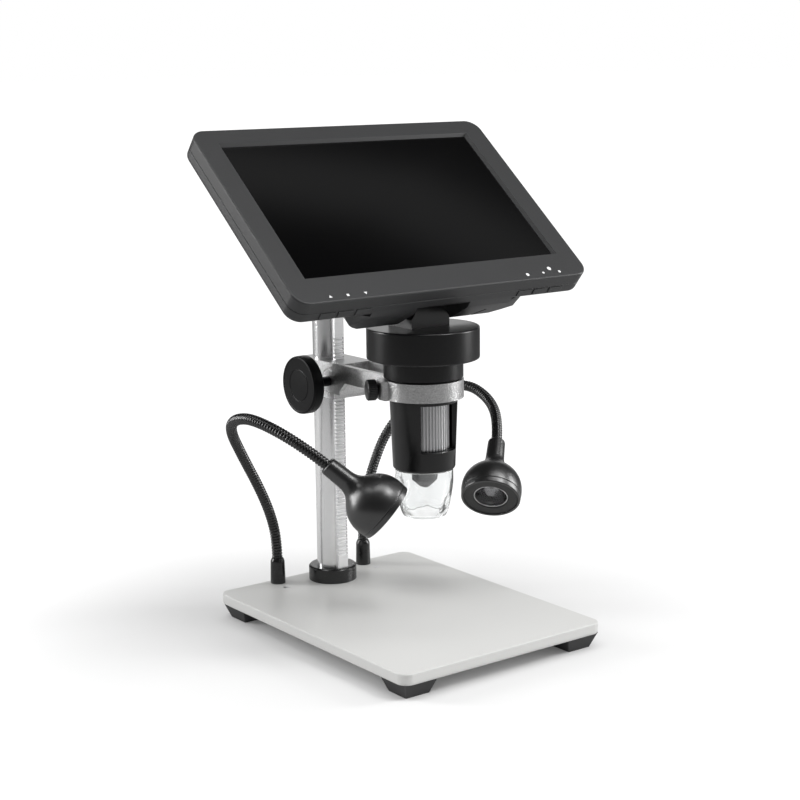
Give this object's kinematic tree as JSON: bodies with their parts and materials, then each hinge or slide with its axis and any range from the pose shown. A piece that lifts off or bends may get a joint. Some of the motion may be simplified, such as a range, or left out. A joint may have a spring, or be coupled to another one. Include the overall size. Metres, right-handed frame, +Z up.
{
  "type": "lcd digital microscope",
  "caption": "Desk-top digital microscope: flat base, rack column with focus knobs, round camera head with clear cup, tilting screen and two lamps on flexible necks.",
  "frame": {"origin": "centre of the base on the bench, under the feet", "axes": "+X to the operator's right, -Y towards the operator, +Z up"},
  "size_m": [0.1824, 0.168, 0.2641],
  "materials": {
    "base_paint": "fine satin powder coat",
    "dark_steel": "black painted sheet steel",
    "foot_rubber": "matt moulded rubber",
    "steel": "plain zinc plated steel",
    "circuit_board": "green solder mask",
    "white_board": "white solder mask with lamps",
    "column_aluminium": "polished and clear anodised",
    "rack_steel": "milled teeth",
    "black_metal": "black anodised, satin",
    "black_plastic": "satin moulded plastic",
    "cast_aluminium": "bead blasted casting",
    "clear_plastic": "clear moulded plastic",
    "wheel_aluminium": "ribbed and polished",
    "optical_glass": "coated lens",
    "screen_plastic": "satin dark grey plastic",
    "lcd_glass": "black display glass, switched off",
    "battery_wrap": "foil pouch",
    "neck_black": "ribbed black flexible neck",
    "lamp_black": "semi-gloss black",
    "reflector_chrome": "metallised reflector",
    "led_white": "white lamp on its board",
    "clear_lens": "clear lamp cover"
  },
  "bodies": {
    "stand": {"base_plate": "base_paint", "base_bottom_cover": "dark_steel", "rubber_feet": "foot_rubber", "base_fasteners": "steel", "lamp_driver_board": "circuit_board", "lamp_power_socket": "steel", "column_tube": "column_aluminium", "column_rack": "rack_steel", "column_collar": "black_metal", "column_cap": "black_plastic", "lamp_ferrules": "black_metal"},
    "carriage": {"focus_carriage": "cast_aluminium", "pinion_bush": "cast_aluminium"},
    "pinion": {"pinion_shaft": "steel", "focus_knob_left": "black_metal", "focus_knob_right": "black_metal"},
    "clamp_screw": {"clamp_thumb_screw": "black_metal"},
    "camera_head": {"barrel": "black_metal", "wheel_guides": "black_plastic", "ring_light": "white_board", "clear_cup": "clear_plastic", "sensor_board": "circuit_board", "head_housing": "black_plastic", "camera_board": "circuit_board", "head_lid": "black_plastic", "hinge_block": "black_plastic", "hinge_screws": "steel"},
    "focus_roller": {"focus_wheel": "wheel_aluminium"},
    "lens": {"lens_carrier": "black_plastic", "objective_lenses": "optical_glass"},
    "screen": {"front_bezel": "screen_plastic", "lcd_panel": "lcd_glass", "rear_shell": "screen_plastic", "screen_screws": "steel", "main_board": "circuit_board", "rear_housing": "screen_plastic", "battery": "battery_wrap", "tilt_bracket": "dark_steel", "hinge_pin": "steel", "button_boards": "circuit_board"},
    "button_1_cap": {"button_1": "screen_plastic"},
    "button_2_cap": {"button_2": "screen_plastic"},
    "button_3_cap": {"button_3": "screen_plastic"},
    "button_4_cap": {"button_4": "screen_plastic"},
    "button_5_cap": {"button_5": "screen_plastic"},
    "button_6_cap": {"button_6": "screen_plastic"},
    "lamp_left_arm": {"lamp_left_neck_lower": "neck_black"},
    "lamp_left_head": {"lamp_left_neck_upper": "neck_black", "lamp_left_shade": "lamp_black", "lamp_left_bezel": "lamp_black", "lamp_left_reflector": "reflector_chrome", "lamp_left_led": "led_white", "lamp_left_lens": "clear_lens"},
    "lamp_right_arm": {"lamp_right_neck_lower": "neck_black"},
    "lamp_right_head": {"lamp_right_neck_upper": "neck_black", "lamp_right_shade": "lamp_black", "lamp_right_bezel": "lamp_black", "lamp_right_reflector": "reflector_chrome", "lamp_right_led": "led_white", "lamp_right_lens": "clear_lens"}
  },
  "joints": [
    {"name": "column_slide", "type": "slide", "parent": "stand", "child": "carriage", "axis": [0, 0, 1], "range_m": [-0.05, 0.015]},
    {"name": "focus_pinion_spin", "type": "hinge", "parent": "carriage", "child": "pinion", "pos_m": [0, 0.05098, 0.1292], "axis": [1, 0, 0], "range_deg": [-149.3, 497.5]},
    {"name": "clamp_screw_turn", "type": "hinge", "parent": "carriage", "child": "clamp_screw", "pos_m": [-0.02209, -0.00862, 0.13455], "axis": [-0.9205, 0.3907, 0], "range_deg": [0, 720]},
    {"name": "head_swivel", "type": "hinge", "parent": "carriage", "child": "camera_head", "pos_m": [0, -0.018, 0.13455], "axis": [0, 0, 1], "range_deg": [-25, 25]},
    {"name": "focus_wheel_turn", "type": "hinge", "parent": "camera_head", "child": "focus_roller", "pos_m": [0, -0.018, 0.11565], "axis": [0, 0, 1], "range_deg": [-150.2, 150.2]},
    {"name": "lens_travel", "type": "slide", "parent": "camera_head", "child": "lens", "axis": [0, 0, 1], "range_m": [-0.0025, 0.0025]},
    {"name": "screen_tilt", "type": "hinge", "parent": "camera_head", "child": "screen", "pos_m": [0, -0.015, 0.1827], "axis": [1, 0, 0], "range_deg": [-15, 30]},
    {"name": "button_1_press", "type": "slide", "parent": "screen", "child": "button_1_cap", "axis": [0, 0.7757, 0.6311], "range_m": [0, 0.0004], "stiffness_N_per_m": 800},
    {"name": "button_2_press", "type": "slide", "parent": "screen", "child": "button_2_cap", "axis": [0, 0.7757, 0.6311], "range_m": [0, 0.0004], "stiffness_N_per_m": 800},
    {"name": "button_3_press", "type": "slide", "parent": "screen", "child": "button_3_cap", "axis": [0, 0.7757, 0.6311], "range_m": [0, 0.0004], "stiffness_N_per_m": 800},
    {"name": "button_4_press", "type": "slide", "parent": "screen", "child": "button_4_cap", "axis": [0, 0.7757, 0.6311], "range_m": [0, 0.0004], "stiffness_N_per_m": 800},
    {"name": "button_5_press", "type": "slide", "parent": "screen", "child": "button_5_cap", "axis": [0, 0.7757, 0.6311], "range_m": [0, 0.0004], "stiffness_N_per_m": 800},
    {"name": "button_6_press", "type": "slide", "parent": "screen", "child": "button_6_cap", "axis": [0, 0.7757, 0.6311], "range_m": [0, 0.0004], "stiffness_N_per_m": 800},
    {"name": "lamp_left_swing", "type": "hinge", "parent": "stand", "child": "lamp_left_arm", "pos_m": [-0.0291, 0.0783, 0.0237], "axis": [0, 0, 1], "range_deg": [-35, 5]},
    {"name": "lamp_right_swing", "type": "hinge", "parent": "stand", "child": "lamp_right_arm", "pos_m": [0.0291, 0.0783, 0.0237], "axis": [0, 0, -1], "range_deg": [-35, 5]},
    {"name": "lamp_left_bend", "type": "hinge", "parent": "lamp_left_arm", "child": "lamp_left_head", "pos_m": [-0.0733, 0.0487, 0.1145], "axis": [-0.9106, 0.4132, 0], "range_deg": [-12, 20]},
    {"name": "lamp_right_bend", "type": "hinge", "parent": "lamp_right_arm", "child": "lamp_right_head", "pos_m": [0.0723, 0.0585, 0.1143], "axis": [-0.87, -0.493, 0], "range_deg": [-12, 20]}
  ],
  "couplings": [
    {"joint": "focus_pinion_spin", "follows": "column_slide", "rad_per_m": -173.61},
    {"joint": "focus_wheel_turn", "follows": "lens_travel", "rad_per_m": 1047.2}
  ]
}
